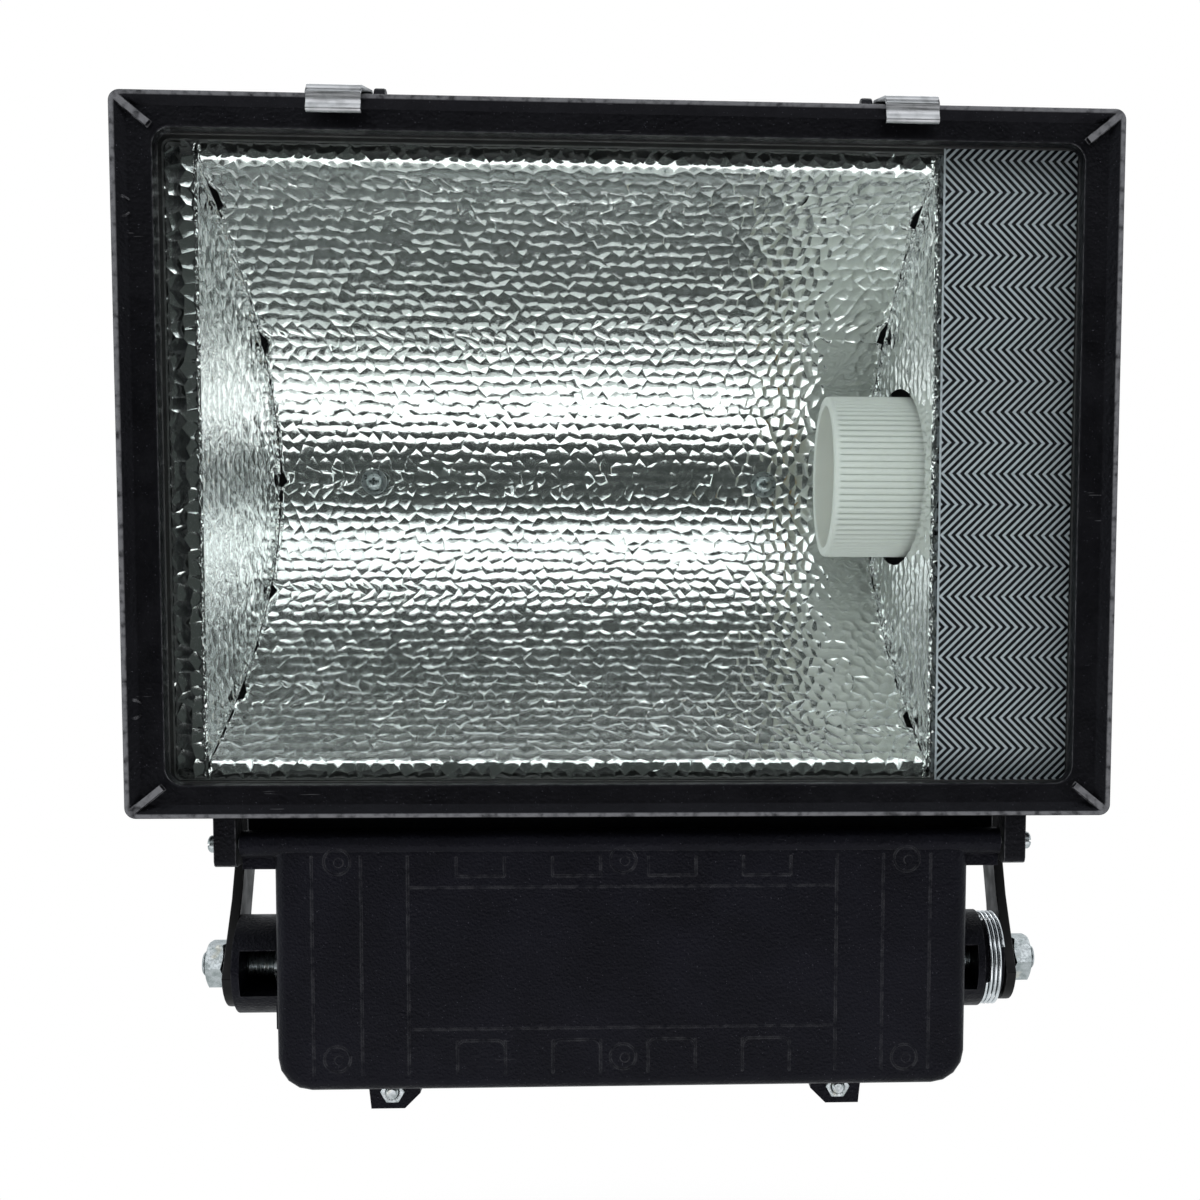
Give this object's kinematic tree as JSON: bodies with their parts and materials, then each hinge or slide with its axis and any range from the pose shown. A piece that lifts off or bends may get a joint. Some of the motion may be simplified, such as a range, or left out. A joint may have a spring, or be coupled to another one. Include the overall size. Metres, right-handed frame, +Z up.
{
  "type": "floodlight",
  "caption": "Grow lamp: cast floodlight for one horizontal discharge lamp, with a hinged glass door, hammered reflector, gear box below and a tilting stirrup.",
  "frame": {"origin": "middle of the outer flat face of the stirrup's base", "axes": "+X to the right seen from the front, -Y out of the glass, +Z up; the stirrup leans back 24 degrees at rest"},
  "size_m": [0.36, 0.1559, 0.383],
  "materials": {
    "black_cast": "semi-gloss black paint over rough die-cast aluminium",
    "black_steel": "black powder coat on flat steel",
    "glass": "clear toughened soda-lime glass, with a printed chevron band at its right-hand end",
    "silicone": "matt silicone",
    "hammered_aluminium": "bright anodised aluminium with a hammered pattern of cells about 5 mm across",
    "stainless_sheet": "satin stainless spring sheet",
    "zinc": "bright bluish zinc plating",
    "ceramic": "matt off-white steatite",
    "brass": "plain",
    "lamination": "varnished steel laminations",
    "winding": "varnished enamelled copper",
    "white_plastic": "moulded",
    "black_plastic": "moulded polyamide",
    "lead_sleeve": "woven glass sleeve over silicone"
  },
  "bodies": {
    "stirrup": {"bracket": "black_steel"},
    "housing": {"ballast_coil": "winding", "ballast_core": "lamination", "cable_gland_body": "black_plastic", "cable_gland_nut": "black_plastic", "cable_gland_seal": "silicone", "capacitor": "white_plastic", "capacitor_clamp": "zinc", "gear_cover": "black_cast", "gear_cover_nut_left": "zinc", "gear_cover_nut_right": "zinc", "gear_cover_screw_lower_left": "zinc", "gear_cover_screw_lower_right": "zinc", "gear_cover_screw_upper_left": "zinc", "gear_cover_screw_upper_right": "zinc", "gear_cover_seal": "silicone", "gear_housing": "black_cast", "gear_tray": "zinc", "hinge_screw_left": "zinc", "hinge_screw_right": "zinc", "ignitor": "white_plastic", "lamp_housing": "black_cast", "lamp_lead_live": "lead_sleeve", "lamp_lead_neutral": "lead_sleeve", "lampholder_body": "ceramic", "lampholder_bracket": "zinc", "lampholder_collar": "ceramic", "lampholder_contact": "brass", "lampholder_shell": "brass", "latch_pin_left": "zinc", "latch_pin_right": "zinc", "neck_gasket": "silicone", "pivot_bolt_left": "zinc", "pivot_bolt_right": "zinc", "pivot_nut_left": "zinc", "pivot_nut_right": "zinc", "pivot_spring": "zinc", "pivot_washer_left": "zinc", "pivot_washer_right": "zinc", "reflector_end_left": "hammered_aluminium", "reflector_end_right": "hammered_aluminium", "reflector_screw_left": "zinc", "reflector_screw_right": "zinc", "reflector_trough": "hammered_aluminium", "terminal_block": "white_plastic"},
    "door": {"door_frame": "black_cast", "front_glass": "glass", "glass_seal": "silicone", "glass_clip_lower_left": "zinc", "glass_clip_upper_left": "zinc", "glass_clip_lower_right": "zinc", "glass_clip_upper_right": "zinc", "glass_clip_screw_lower_left": "zinc", "glass_clip_screw_upper_left": "zinc", "glass_clip_screw_lower_right": "zinc", "glass_clip_screw_upper_right": "zinc"},
    "latch_left": {"latch_left": "stainless_sheet"},
    "latch_right": {"latch_right": "stainless_sheet"}
  },
  "joints": [
    {"name": "aim_pivot", "type": "hinge", "parent": "stirrup", "child": "housing", "pos_m": [0, -0.08135, -0.18271], "axis": [1, 0, 0], "range_deg": [0, 156]},
    {"name": "door_hinge", "type": "hinge", "parent": "housing", "child": "door", "pos_m": [0, -0.12435, -0.12711], "axis": [1, 0, 0], "range_deg": [0, 110]},
    {"name": "latch_left_hinge", "type": "hinge", "parent": "housing", "child": "latch_left", "pos_m": [-0.1018, -0.11385, 0.14629], "axis": [-1, 0, 0], "range_deg": [0, 75]},
    {"name": "latch_right_hinge", "type": "hinge", "parent": "housing", "child": "latch_right", "pos_m": [0.1018, -0.11385, 0.14629], "axis": [-1, 0, 0], "range_deg": [0, 75]}
  ]
}
